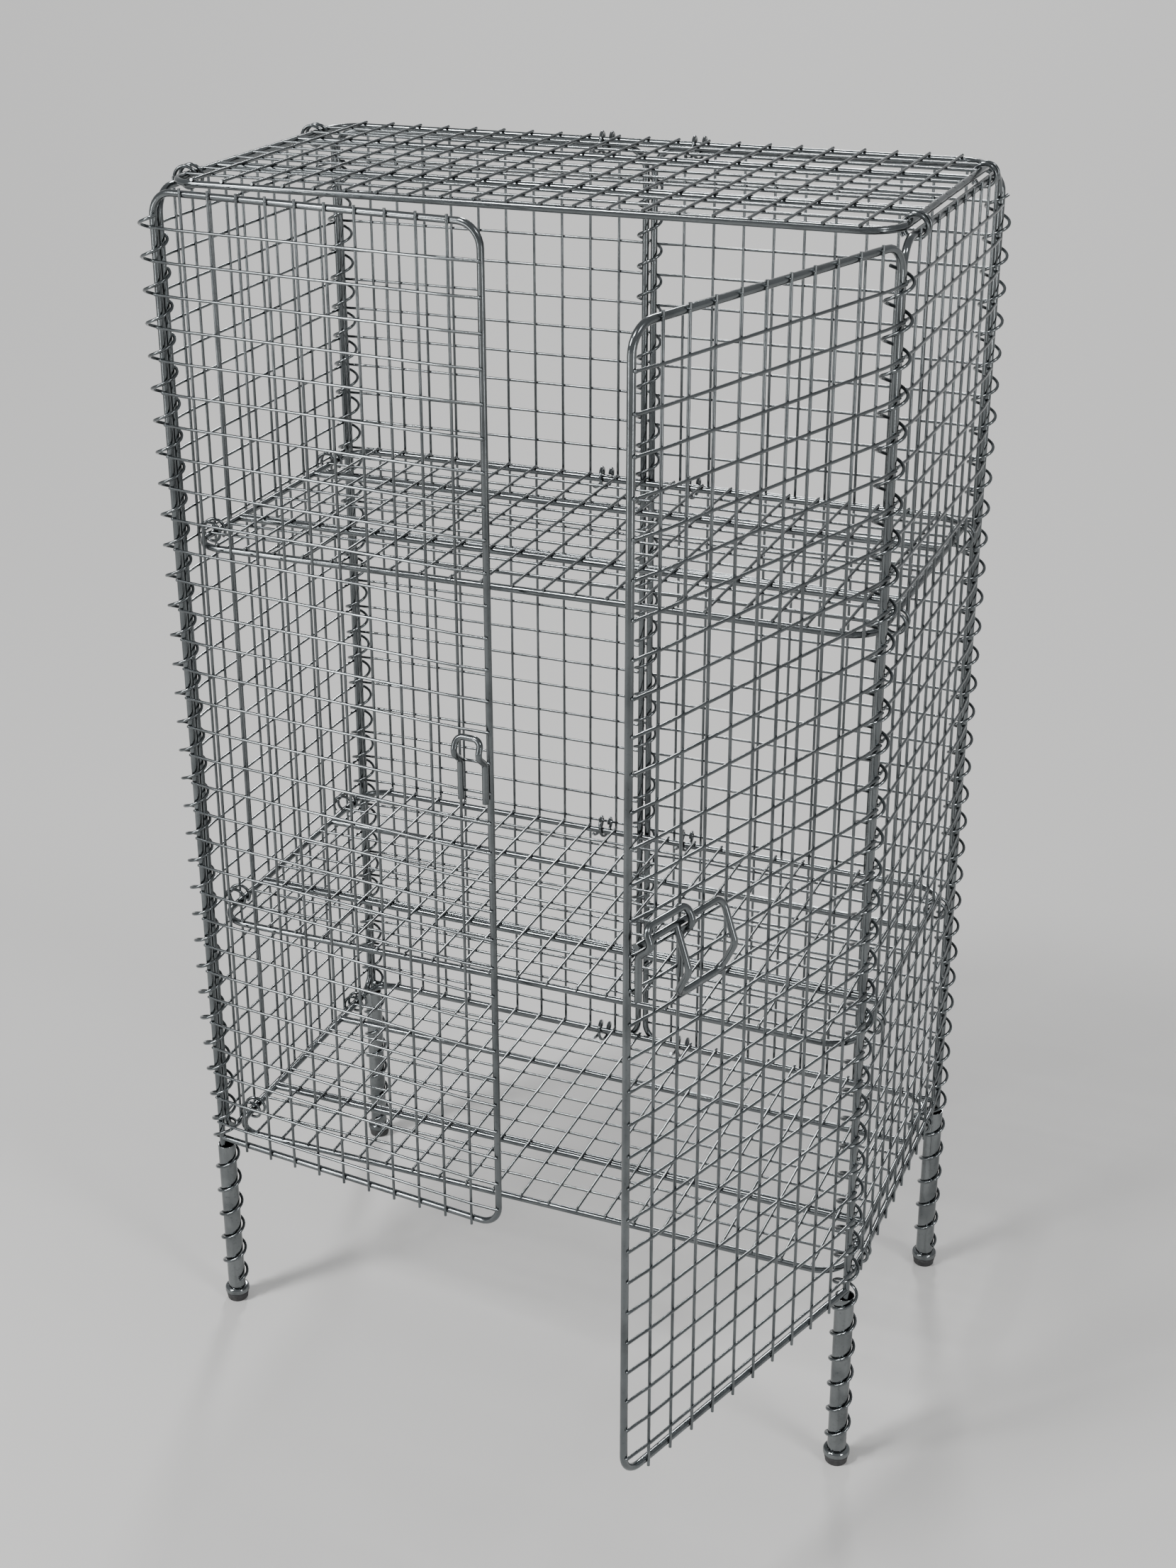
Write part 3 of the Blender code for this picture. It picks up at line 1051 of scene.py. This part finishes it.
class KENNEL_OT_stage(Operator):
    """Make the floor, the lights and the camera"""

    bl_idname = "kennel.stage"
    bl_label = "Stage"

    def execute(self, context):
        bpy.ops.mesh.primitive_plane_add(size=FLOOR_SIZE, location=(MIDDLE, 1.0, 0.0))
        floor = context.object
        floor.name = "floor"
        material, shader = new_material("Pale floor")
        shader.inputs["Base Color"].default_value = (*colours().floor, 1.0)
        shader.inputs["Roughness"].default_value = 0.7
        floor.data.materials.append(material)
        world = context.scene.world or bpy.data.worlds.new("Studio")
        context.scene.world = world
        world.use_nodes = True
        background = world.node_tree.nodes["Background"]
        background.inputs["Color"].default_value = (*colours().backdrop, 1.0)
        background.inputs["Strength"].default_value = 0.70
        sun("Sky front", towards=(-0.36, -0.50, 0.79), strength=2.2, spread=9.0)
        sun("Sky right", towards=(1.3, -0.5, 1.4), strength=1.0, spread=12.0)
        sun("Sky back", towards=(-0.25, 0.80, 0.55), strength=1.4, spread=9.0)
        middle = (MIDDLE, SPAN_Y / 2, 0.55)
        area_light("Key", (-1.5, -1.7, 2.2), middle, energy=45.0, width=0.5, height=0.9)
        strip = {"energy": 5.0, "width": 0.14, "height": 0.7}
        area_light("Left strip", (-0.75, -1.25, 0.75), (0.1, 0.0, 0.4), **strip)
        area_light("Right strip", (1.75, -0.75, 0.75), (0.5, 0.1, 0.4), **strip)
        self.add_camera(context)
        return {"FINISHED"}

    def add_camera(self, context):
        """The camera stands in front of the cage, above it and to its right, and looks down."""
        camera = bpy.data.cameras.new("Camera")
        camera.sensor_fit = "AUTO"
        camera.sensor_width = 36.0
        camera.lens = CAMERA_LENS
        camera.shift_x, camera.shift_y = CAMERA_SHIFT
        camera.clip_start = 0.05
        obj = bpy.data.objects.new("Camera", camera)
        obj.location = CAMERA_PLACE
        heading, down, roll = (math.radians(angle) for angle in CAMERA_ANGLES)
        ahead, aside = math.cos(heading), math.sin(heading)
        forward = Vector((aside * math.cos(down), ahead * math.cos(down), -math.sin(down)))
        turn = forward.to_track_quat("-Z", "Y").to_matrix()
        roll_about_view = Matrix.Rotation(roll, 3, forward)
        obj.rotation_euler = (roll_about_view @ turn).to_euler()
        context.scene.collection.objects.link(obj)
        context.scene.camera = obj


class KENNEL_PT_panel(Panel):
    """The cage's pieces, sizes and colours."""

    bl_idname = "KENNEL_PT_panel"
    bl_label = "Kennel Cage"
    bl_space_type = "VIEW_3D"
    bl_region_type = "UI"
    bl_category = "Kennel"

    def draw(self, context):
        for operator in MAKERS:
            self.layout.operator(operator.bl_idname)
        for settings in (context.scene.kennel_sizes, context.scene.kennel_colours):
            box = self.layout.box()
            for name in settings.__annotations__:
                box.prop(settings, name)


MAKERS = (
    KENNEL_OT_doors,
    KENNEL_OT_walls,
    KENNEL_OT_levels,
    KENNEL_OT_spirals,
    KENNEL_OT_clips,
    KENNEL_OT_latch,
    KENNEL_OT_legs,
    KENNEL_OT_stage,
)
CLASSES = (KennelSizes, KennelColours, *MAKERS, KENNEL_PT_panel)


def register():
    for cls in CLASSES:
        bpy.utils.register_class(cls)
    bpy.types.Scene.kennel_sizes = PointerProperty(type=KennelSizes)
    bpy.types.Scene.kennel_colours = PointerProperty(type=KennelColours)


def unregister():
    del bpy.types.Scene.kennel_colours
    del bpy.types.Scene.kennel_sizes
    for cls in reversed(CLASSES):
        bpy.utils.unregister_class(cls)


def main():
    register()
    for operator in MAKERS:
        group, name = operator.bl_idname.split(".")
        getattr(getattr(bpy.ops, group), name)()


if __name__ == "__main__":
    main()
